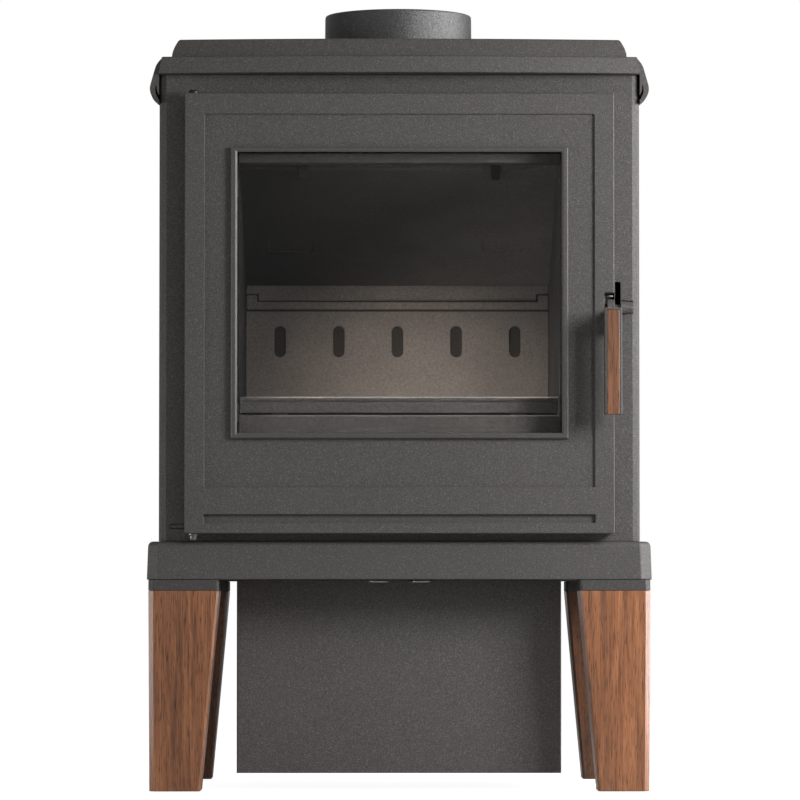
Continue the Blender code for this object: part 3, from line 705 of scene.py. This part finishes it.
def make_top():
    """Bowed lid with a curled ear at each front corner, a drafted second step, and the flue collar."""
    lid = make_lid()
    inside = block("hollow", (-0.224, 0.224), (0.012, 0.390), (0.7, LID[1] - 0.0068))
    flue = bore(FLUE_BORE, 0.6, 0.9, FLUE, steps=64)
    add(soften(cut(lid, inside, flue), 0.0005, 2, 42, 30), "stove", GRAPHITE, "top_plate")
    _, _, z = span("top_tier")
    middle, lean, draft = 0.1965, 0.032, 0.028
    rows = levels(*z, 0.0004, 0.0014)
    rows[4:4] = [(z[0] + (z[1] - z[0]) * k / 6, 0) for k in range(1, 6)]
    loops = []
    for height, inset in rows:
        t = (height - z[0]) / (z[1] - z[0])
        plan = bowed(0.2277, -0.007, 0.400)(inset)
        loops.append([spot("Z", u * (1 - lean * t ** 1.8), middle + (v - middle) * (1 - draft * t), height)
                      for u, v in plan])
    tier = cut(loft("tier_casting", loops), bore(FLUE_BORE, 0.6, 0.9, FLUE, steps=64))
    add(soften(tier, 0.0005, 2, 42, 30), "stove", GRAPHITE, "top_tier")
    make_collar()


def make_lid():
    """The lid's bowed plate with a hook-shaped ear, slotted at its front end, at each front corner."""
    low, high = LID
    draft = 0.014
    loops = []
    for height, inset in levels(low, high, 0.0008, 0.0014):
        t = (height - low) / (high - low)
        loops.append([spot("Z", u * (1 - draft * t), v, height)
                      for u, v in bowed(0.2410, -0.012, 0.408)(inset)])
    lid = loft("lid_casting", loops)
    outer = curve(((0.2362, 0.7331), (0.2378, 0.7328), (0.2415, 0.7287), (0.2442, 0.7241), (0.2465, 0.7164),
                   (0.2485, 0.7095), (0.2498, 0.7041), (0.2498, 0.7002), (0.2485, 0.6956), (0.2454, 0.6914),
                   (0.2408, 0.6874)))
    slot = curve(((0.2408, 0.6909), (0.2427, 0.6940), (0.2443, 0.6982), (0.2446, 0.7020), (0.2438, 0.7060)))
    slot += curve(((0.2432, 0.7052), (0.2427, 0.7000), (0.2408, 0.6955)))
    root = [(0.2408, 0.7190), (0.2320, 0.7190), (0.2320, 0.7322)]
    ears = []
    for _, hand in HANDS:
        for section, depths in ((outer + slot + root, (-0.003, 0.017)), (outer + root, (0.016, 0.027))):
            ears.append(slab("ear", fixed([(hand * u, v) for u, v in section]), "Y", depths))
    return join(lid, *ears)


def make_collar():
    """Flue collar with a rounded lip and a groove inside, on a flange with three screws."""
    _, _, (low, top) = span("flue_collar")
    inner, groove, lip = 0.0690, 0.0702, 0.0016
    profile = [(inner, low), (0.0764, low), (0.0760, top - 2 * lip)]
    profile += arc((0.0742, top - lip), lip, 0, 90, 5) + arc((0.0706, top - 0.0014), 0.0014, 90, 180, 4)
    profile += [(inner, top - 0.010), (groove, top - 0.012), (groove, top - 0.018), (inner, top - 0.020)]
    add(smooth(lathe("collar_ring", profile, FLUE, "Z", 96)), "stove", COLLAR, "flue_collar")
    _, _, (low, top) = span("flue_flange")
    inner = 0.0767
    profile = [(inner, low), (0.0940, low)] + arc((0.0924, top - lip), lip, 0, 90, 4) + [(inner, top)]
    add(smooth(lathe("collar_flange", profile, FLUE, "Z", 96)), "stove", COLLAR, "flue_flange")
    ring, heads = 0.0852, []
    for angle in (30, 150, 270):
        a = math.radians(angle)
        place = (ring * math.cos(a), FLUE[1] + ring * math.sin(a), top)
        heads.append(screw(place, "Z", 0.0045, 0.0028))
    add(smooth(group("flange_screws", heads)), "stove", DARK)


# -------------------------------- firebox
def under(d):
    """Height of the baffle's underside at a depth."""
    low, rise, back = 0.5262, 0.3740, 0.344
    return low + rise * (back - d)


def make_firebox():
    """What shows through the glass: rear lining, baffle, front brick, log guard and air channel."""
    make_rear_lining()
    make_baffle()
    x, d, z = span("front_brick")
    brick = slab("front_brick_casting", rect(d, z, 0.0025, 3), "X", x, (0.001, 0.001), 2)
    add(facet(brick, 30), "stove", FIREBOX, "front_brick")
    make_guard()
    x, (front, back), (low, high) = span("air_wash_plate")
    wall = 0.002
    profile = [(front, low), (back, low), (back, high), (back - wall, high), (back - wall, low + wall),
               (front + wall, low + wall), (front + wall, high), (front, high)]
    channel = slab("air_channel", fixed(profile), "X", x)
    add(soften(channel, 0.0005, 2), "stove", FIREBOX, "air_wash_plate")


def make_guard():
    """Log guard: a bar with a V-groove near its top, on two set-back feet before a near-black web, painted
    shade that darkens the gap under the bar.
    """
    x, (front, back), (bottom, top) = span("log_guard")
    low, ease, groove = 0.3782, 0.0014, front + 0.0012
    profile = [(back, low), (back, top), (front + ease, top), (front, top - ease), (front, top - 0.0042),
               (groove, top - 0.0047), (groove, top - 0.0051), (front, top - 0.0056), (front, low)]
    bar = slab("guard_bar", fixed(profile), "X", x)
    feet = [block("foot", (m - 0.008, m + 0.008), (front + 0.0045, back - 0.001), (bottom, low + 0.002))
            for m in (-0.120, 0.120)]
    add(soften(join(bar, *feet), 0.0002, 2), "stove", GUARD, "log_guard")
    # A near-black web behind the bar: painted shade in the gap under it.
    shade_web = block("guard_shade_web", (x[0] + 0.001, x[1] - 0.001), (back - 0.0018, back - 0.0008),
                (bottom, low + 0.001))
    add(soften(shade_web, 0.0002, 1), "stove", PAINTED_SHADE, "log_guard")


def make_rear_lining():
    """Moulded rear lining: five round-ended jets and a groove round its cast ledge, with near-black inlays
    in both as painted shade.
    """
    x, d, z = span("lining_rear")
    face, before, gap, middle_height = d[0], d[0] - 0.01, 0.0004, 0.4
    lining = slab("rear_lining", rect(x, (z[0], 0.5)), "Y", d)
    for vert in lining.data.vertices:
        if vert.co.z > middle_height:
            vert.co.z = under(vert.co.y - FRONT) - gap
    tools, soot_and_shade = [], []
    pitch, half, low, high, slack = 0.0626, 0.0062, 0.4493, 0.4827, 0.0001
    for step in range(-2, 3):
        middle = pitch * step
        jet = rect((middle - half, middle + half), (low, high), half - 0.00002, 8)
        tools.append(slab("jet", jet, "Y", (before, face + 0.05)))
        # A near-black plug behind each jet: painted shade in the jet's depth.
        plug = rect((middle - half + slack, middle + half - slack), (low + slack, high - slack),
                    half - 0.00012, 8)
        soot_and_shade.append(slab("jet_painted_shade", plug, "Y", (face + 0.0042, face + 0.0060)))

    def ledge_line(grow):
        """Outline of the ledge with its raised ends, grown by a margin."""
        right = [(0.1607 + grow, 0.500 - grow), (0.1607 + grow, 0.515 + grow), (0.1497 - grow, 0.515 + grow),
                 (0.1497 - grow, 0.508 + grow)]
        return right + [(-u, v) for u, v in right[::-1]]
    groove = slab("groove", fixed(ledge_line(0.0019)), "Y", (before, face + 0.0035))
    # A near-black strip in the groove: painted shade round the ledge.
    soot_and_shade.append(slab("groove_painted_shade", fixed(ledge_line(0.0018)), "Y", (face + 0.0012, face + 0.0034)))
    lining = soften(cut(lining, *tools, groove), 0.0011, 3)
    add(lining, "stove", LINING, "lining_rear")
    add(group("lining_painted_shade", soot_and_shade), "stove", PAINTED_SHADE, "lining_rear")
    _, depth, _ = span("rear_ledge")
    ledge = soften(slab("ledge_bar", fixed(ledge_line(0)), "Y", depth), 0.0012, 3)
    add(ledge, "stove", LINING, "rear_ledge")


def make_baffle():
    """Sloping baffle with two lugs and two shallow round-cornered recesses below."""
    x, _, _ = span("baffle")
    front, back, thick = 0.075, 0.3665, 0.010
    at_front, at_back = under(front), under(back)
    profile = [(back, at_back), (front, at_front), (front, at_front + thick), (back, at_back + thick)]
    plate = slab("baffle_casting", fixed(profile), "X", x)
    lugs = []
    for middle in (-0.098, 0.098):
        shape = [(middle + across, at_front + up) for across, up in
                 ((-0.004, -0.010), (0.004, -0.010), (0.006, 0.012), (-0.006, 0.012))]
        lugs.append(slab("lug", fixed(shape), "Y", (front - 0.004, front + 0.0085)))
    # The lugs take the near-black iron: painted shade for the shadow they hang in.
    add(soften(group("baffle_lugs", lugs), 0.0008, 2), "stove", PAINTED_SHADE, "baffle")
    recesses = []
    for wide in pair(0.0885, 0.1347):
        tool = slab("recess", rect(wide, (0.236, 0.264), 0.005, 4), "Z", (-0.01, 0.0018))
        for vert in tool.data.vertices:
            vert.co.z += under(vert.co.y - FRONT)
        recesses.append(tool)
    add(soften(cut(plate, *recesses), 0.0008, 3), "stove", BAFFLE, "baffle")


# -------------------------------- door
def hoop(name, inside, outside, ends):
    """A rectangular ring standing upright, between two outlines."""
    loops = [[spot("Y", u, v, w) for u, v in line(0)]
             for line, w in ((outside, ends[0]), (outside, ends[1]), (inside, ends[1]), (inside, ends[0]))]
    return loft(name, loops, closed=True)


def make_door():
    """Door casting: sunk field, air slot, glazed opening, seal groove and hinge cut-outs."""
    x, d, z = span("door_frame")
    door = slab("door_casting", rect(x, z, 0.0012, 2), "Y", d, (0.0012, 0.0008))
    field_floor, notch_side, gap = -0.021, 0.2040, 0.0045
    tools = [
        slab("field", rect((-0.1944, 0.1944), (0.3026, 0.6748)), "Y", (-THROUGH, field_floor)),
        slab("air", rect((-0.1951, 0.1951), (0.2671, 0.2754), 0.0010, 2), "Y", (-THROUGH, -0.0195)),
        slab("light", rect((-0.1619, 0.1619), (0.3561, 0.6371)), "Y", (-THROUGH, THROUGH)),
        slab("rebate", rect((-0.1759, 0.1759), (0.3421, 0.6511)), "Y", (-0.017, THROUGH)),
        hoop("groove", rect((-0.1865, 0.1865), (0.2850, 0.6745)), rect((-0.1965, 0.1965), (0.2750, 0.6845)),
             (-0.010, THROUGH)),
        block("notch", (notch_side, 0.3), (-THROUGH, THROUGH), (0.4620, 0.4966))]
    tools += [block("hinge_gap", (-0.3, -0.1985), (field_floor, THROUGH), (m - gap, m + gap))
              for m in (0.2638, 0.6740)]
    door = soften(cut(door, *tools), 0.0007, 3, 35, 25)
    bores = [bore(PIN_BORE, low, high, (*HINGE, 0))
             for low, high in ((z[1] - 0.030, z[1] + 0.01), (z[0] - 0.02, z[0] + 0.020))]
    bores.append(bore(PIN_BORE, -0.006, 0.006, (notch_side, *SHAFT[1:]), "X"))
    bake(door)
    add(facet(cut(door, *bores), 25), "door", GRAPHITE, "door_frame")
    make_window()
    make_seal()
    make_hinges()


def make_window():
    """Raised bead round the opening, the pane, and four spring clips with their screws."""
    _, (face, back), _ = span("window_bead")
    profile = ((1, back), (1, face + 0.0016), (0.94, face + 0.0006), (0.80, face), (0.30, face),
               (0, face + 0.0009), (0, back))
    loops = []
    for out, w in profile:
        half, low, high = 0.1617 + 0.0065 * out, 0.3563 - 0.0054 * out, 0.6369 + 0.0045 * out
        loops.append([spot("Y", u, v, w) for u, v in rect((-half, half), (low, high))(0)])
    bead = loft("bead_casting", loops, closed=True)
    add(facet(bead, 15), "door", BEAD, "window_bead")
    x, d, z = span("door_glass")
    pane = slab("ceramic_pane", rect(x, z, 0.004, 4), "Y", d, (0.0006, 0.0006), 2)
    add(facet(pane, 30), "door", GLASS, "door_glass")
    for end in ("lower", "upper"):
        for side, hand in HANDS:
            node = f"glass_clip_{end}_{side}"
            x, (front, back), z = span(node)
            inner, outer = sorted(x, key=abs)
            plate = slab(f"clip_{end}_{side}", rect(x, z, 0.0015, 3), "Y", (back - 0.0015, back))
            wide = sorted((inner, inner + hand * 0.009))
            prong = slab("prong", rect(wide, z), "Y", (front, back - 0.0004))
            head = screw((outer - hand * 0.0055, back, sum(z) / 2), "Y", 0.0036, 0.0017)
            clip = soften(join(plate, prong, head), 0.0003, 2, 50)
            add(clip, "door", DARK, node)


def make_seal():
    """The door's woven rope seal, in one run round its groove."""
    x, d, z = span("door_seal")
    radius, step = (d[1] - d[0]) / 2, 0.004
    line = rect((x[0] + radius, x[1] - radius), (z[0] + radius, z[1] - radius), 0.006, 5)(0)
    path = [spot("Y", u, v, sum(d) / 2) for u, v in line]
    dense = []
    for i, point in enumerate(path):
        after = Vector(path[(i + 1) % len(path)])
        count = max(1, round((after - Vector(point)).length / step))
        dense += [Vector(point).lerp(after, k / count) for k in range(count)]
    seal = tube("rope_run", dense, radius, 12)
    add(smooth(seal, 60), "door", ROPE, "door_seal")


def make_hinges():
    """Brackets with rolled eyes on the front casting, and the door's turned pins."""
    eye, mount, reach = 0.006, -0.0003, 0.01
    for name in ("lower", "upper"):
        _, _, z = span(f"hinge_bracket_{name}")
        plan = arc(HINGE, eye, 180, 360, 16) + [(HINGE[0] + eye, mount), (HINGE[0] - 0.003, mount),
                                                (HINGE[0] - 0.003, HINGE[1] + 0.0052)]
        bracket = slab(f"bracket_{name}", fixed(plan), "Z", z)
        if name == "lower":
            leaf = slab("leaf", rect((-0.2289, HINGE[0] + eye), z, 0.0016, 4), "Y", (-0.0006, 0.0013))
            bracket = join(bracket, leaf)
        bracket = cut(bracket, bore(PIN_BORE, z[0] - reach, z[1] + reach, (*HINGE, 0)))
        add(soften(bracket, 0.0003, 2, 50, 35), "stove", GRAPHITE, f"hinge_bracket_{name}")
    shank, tip, collar, ease = 0.0030, 0.0026, 0.0050, 0.0006
    _, _, (low, top) = span("hinge_pin_upper")
    seat, crown = top - 0.0036, 0.0020
    profile = [(0, low), (tip, low), (shank, low + ease), (shank, seat), (collar, seat)]
    profile += arc((shank, top - crown), crown, 0, 90, 5) + [(0, top)]
    pin = lathe("pin_upper", profile, (*HINGE, 0), "Z", 32)
    add(smooth(pin), "door", DARK, "hinge_pin_upper")
    _, _, (low, top) = span("hinge_pin_lower")
    shoulder, spigot = 0.2562, 0.0038
    profile = [(0, low), (0.0034, low), (spigot, low + 0.0005), (spigot, shoulder - 0.0024),
               (0.0046, shoulder - 0.0024), (collar, shoulder - 0.0019), (collar, shoulder),
               (shank, shoulder), (shank, top - ease), (tip, top), (0, top)]
    pin = lathe("pin_lower", profile, (*HINGE, 0), "Z", 32)
    add(smooth(pin), "door", DULL, "hinge_pin_lower")


# -------------------------------- handle
def make_handle():
    """Channel with a walnut grip on a level shaft, with its boss, cone and latch tongue."""
    left, right, foot, top = 0.2026, 0.2201, 0.3738, 0.4796
    plan = rect((left, right), (-0.060, -0.046), 0.0012, 2)
    channel = slab("handle_casting", plan, "Z", (foot, top), (0.0006, 0.0010), 2)
    trough = block("trough", (left + 0.0021, right - 0.0022), (-THROUGH, -0.048), (0.3, top - 0.0018))
    channel = cut(channel, trough)
    sweep = [(-0.0470, 0.4580), (-0.0470, 0.4794), (-0.0110, 0.4794), (-0.0110, 0.4700), (-0.0300, 0.4690),
             (-0.0380, 0.4640)]
    arm = slab("arm", fixed(sweep), "X", (0.2078, 0.2142))
    back, face = -0.0462, -0.0247
    boss = lathe("boss", [(0, back), (0.0088, back), (0.0090, -0.0455), (0.0090, -0.0255),
                          (0.0084, face), (0, face)], (0.2099, 0, 0.4651), "Y", 40)
    near, far, neck, cone, end = 0.2073, 0.2147, 0.0026, 0.2205, 0.2327
    profile = [(0, near), (0.0074, near), (0.0078, 0.2077), (0.0078, 0.2143), (0.0074, far), (neck, far),
               (neck, cone), (0.0060, cone), (0.0064, 0.2209), (0.0054, 0.2324), (0.0050, end), (0, end)]
    barrel = lathe("barrel", profile, SHAFT, "X", 40)
    tongue = slab("tongue", rect((-0.014, 0.014), (0.4704, 0.4812), 0.0020, 3), "X", (0.2163, 0.2202))
    lever = join(channel, arm, boss, barrel, tongue)
    lever = cut(lever, bore(PIN_BORE, 0.2, 0.2137, SHAFT, "X"))
    add(soften(lever, 0.0004, 2, 50, 30), "handle", GRAPHITE, "handle_lever")
    x, d, z = span("handle_grip")
    grip = slab("walnut_grip", rect(x, d, 0.0010, 3), "Z", z, (0.0008, 0.0006), 2)
    add(facet(grip, 30), "handle", GRIP, "handle_grip")
    x, _, _ = span("handle_pivot_pin")
    pin = lathe("pivot_pin", turned(*x, 0.0030, 0.0026, 0.0005), SHAFT, "X", 24)
    add(smooth(pin), "door", DARK, "handle_pivot_pin")
    x, d, z = span("handle_stop_pin")
    pin = lathe("stop_pin", turned(*x, 0.0012, 0.0010, 0.0003), (0, sum(d) / 2, sum(z) / 2), "X", 16)
    add(smooth(pin), "door", DULL, "handle_stop_pin")


# -------------------------------- carried-over nodes
# The left side lining is painted near black as shade; the right one takes the firebox iron.
SHADED_LININGS = {"lining_left": PAINTED_DEEP_SHADE, "lining_right": FIREBOX}
EASED = {"lining_left": 0.0012, "lining_right": 0.0012, "grate": 0.0006, "ash_pan": 0.0004,
         "hearth_plate": 0.0006, "slide_strap": 0.0003, "primary_air_slide": 0.0003,
         "secondary_air_slide": 0.0003, "air_box": 0.0003, "glass_gasket": 0.0004}


def finish_frame_nodes():
    """Simple hidden parts keep their CAD shape, with eased edges and a finish; the left side lining gets
    painted shade.
    """
    for name, obj in frame["nodes"].items():
        obj.data.materials.clear()
        obj.data.materials.append(SHADED_LININGS.get(name, FINISHES[SLOTS[name]]))
        if name in EASED:
            weld = obj.modifiers.new("weld", "WELD")
            weld.merge_threshold = 0.00002
            flat = obj.modifiers.new("flat", "DECIMATE")
            flat.decimate_type = "DISSOLVE"
            flat.angle_limit = math.radians(2)
            bevel(obj, EASED[name], 2, 50)


# -------------------------------- stage
WHITE, WARM, PALE = (1, 1, 1), (1.0, 0.88, 0.80), (1.0, 0.95, 0.92)
LAMPS = (  # name, place, target, size, watts, colour and spread in degrees
    ("key", (0.93, -0.75, 0.74), (0.20, 0, 0.41), (0.45, 0.45), 12.0, WHITE, 180),
    ("side_right", (2.1, 0.2, 0.85), (0.1, 0.1, 0.45), (1.0, 1.9), 47, WHITE, 180),
    ("front_right", (2.4, -0.7, 0.9), (0.1, 0.1, 0.45), (1.2, 1.6), 5, WHITE, 180),
    ("side_left", (-1.8, -0.4, 0.25), (0, 0.1, 0.35), (1.1, 0.8), 10, WHITE, 180),
    ("hearth_glow", (0.02, 0.07, 0.49), (0.02, 0.344, 0.37), (0.12, 0.04), 0.175, WARM, 75),
    ("left_glow", (-0.115, 0.055, 0.34), (0.125, 0.27, 0.38), (0.05, 0.05), 0.12, PALE, 100),
    ("guard_glow", (0.010, 0.040, 0.47), (0.010, 0.0395, 0.39), (0.285, 0.012), 0.135, WARM, 60))


def make_camera():
    """A long lens low in front of the stove, a little left of its middle."""
    data = bpy.data.cameras.new("camera")
    data.lens = 234.25
    data.sensor_width = 36.0
    data.clip_end = 60.0
    cam = link("camera", data)
    distance, aim = 5.2, Vector((0.0326, 5.2, 0.2052))
    cam.location = (-0.032, FRONT - distance, 0.185)
    cam.rotation_euler = aim.to_track_quat("-Z", "Y").to_euler()
    SCENE.camera = cam


def area_light(name, place, target, size, watts, colour, spread):
    """A rectangular lamp that faces its target."""
    data = bpy.data.lights.new(name, "AREA")
    data.shape = "RECTANGLE"
    data.size, data.size_y = size
    data.energy = watts
    data.color = colour
    data.spread = math.radians(spread)
    lamp = link(name, data)
    place, target = [Vector((v[0], FRONT + v[1], v[2])) for v in (place, target)]
    lamp.location = place
    lamp.rotation_euler = (target - place).to_track_quat("-Z", "Y").to_euler()


def make_world():
    """White for the camera, and a dim room in front, overhead and behind for everything else."""
    world = bpy.data.worlds.new("studio")
    world.use_nodes = True
    nodes, links = world.node_tree.nodes, world.node_tree.links

    def patch(direction, start, stop, strength):
        """Light from one side of the room, fading away around it."""
        dot = nodes.new("ShaderNodeVectorMath")
        dot.operation = "DOT_PRODUCT"
        dot.inputs[1].default_value = Vector(direction).normalized()
        links.new(coord.outputs["Generated"], dot.inputs[0])
        fade = nodes.new("ShaderNodeMapRange")
        fade.interpolation_type = "SMOOTHSTEP"
        for key, number in (("From Min", start), ("From Max", stop), ("To Max", strength)):
            fade.inputs[key].default_value = number
        links.new(dot.outputs["Value"], fade.inputs["Value"])
        return fade.outputs["Result"]

    def total(first, second):
        """Two strengths added."""
        node = nodes.new("ShaderNodeMath")
        for socket, value in zip(node.inputs, (first, second)):
            links.new(value, socket)
        return node.outputs[0]

    coord = nodes.new("ShaderNodeTexCoord")
    path = nodes.new("ShaderNodeLightPath")
    room = total(patch((0, -1, 0.1), 0.3, 0.9, 0.36), patch((0, 0, 1), 0.5, 0.95, 0.12))
    behind = total(room, patch((0, 1, 0.1), 0.0, 0.9, 0.26))
    mixed = nodes.new("ShaderNodeMix")
    links.new(path.outputs["Is Camera Ray"], mixed.inputs["Factor"])
    links.new(behind, mixed.inputs["A"])
    mixed.inputs["B"].default_value = 1.0
    links.new(mixed.outputs["Result"], nodes["Background"].inputs["Strength"])
    nodes["Background"].inputs["Color"].default_value = (1, 1, 1, 1)
    SCENE.world = world


def make_stage():
    """Camera, room, lamps and a pale floor just below the feet."""
    make_camera()
    make_world()
    for lamp in LAMPS:
        area_light(*lamp)
    reach, level = 20, -0.0005
    corners = [(x * reach, y * reach, level) for x, y in ((-1, -1), (1, -1), (1, 1), (-1, 1))]
    floor = make("floor", corners, [(0, 1, 2, 3)])
    floor.data.materials.append(floor_finish())
    SCENE.view_settings.view_transform = "Standard"


make_stage()
finish_frame_nodes()
make_legs()
make_base()
make_screen()
make_knobs()
make_body()
make_top()
make_firebox()
make_door()
make_handle()
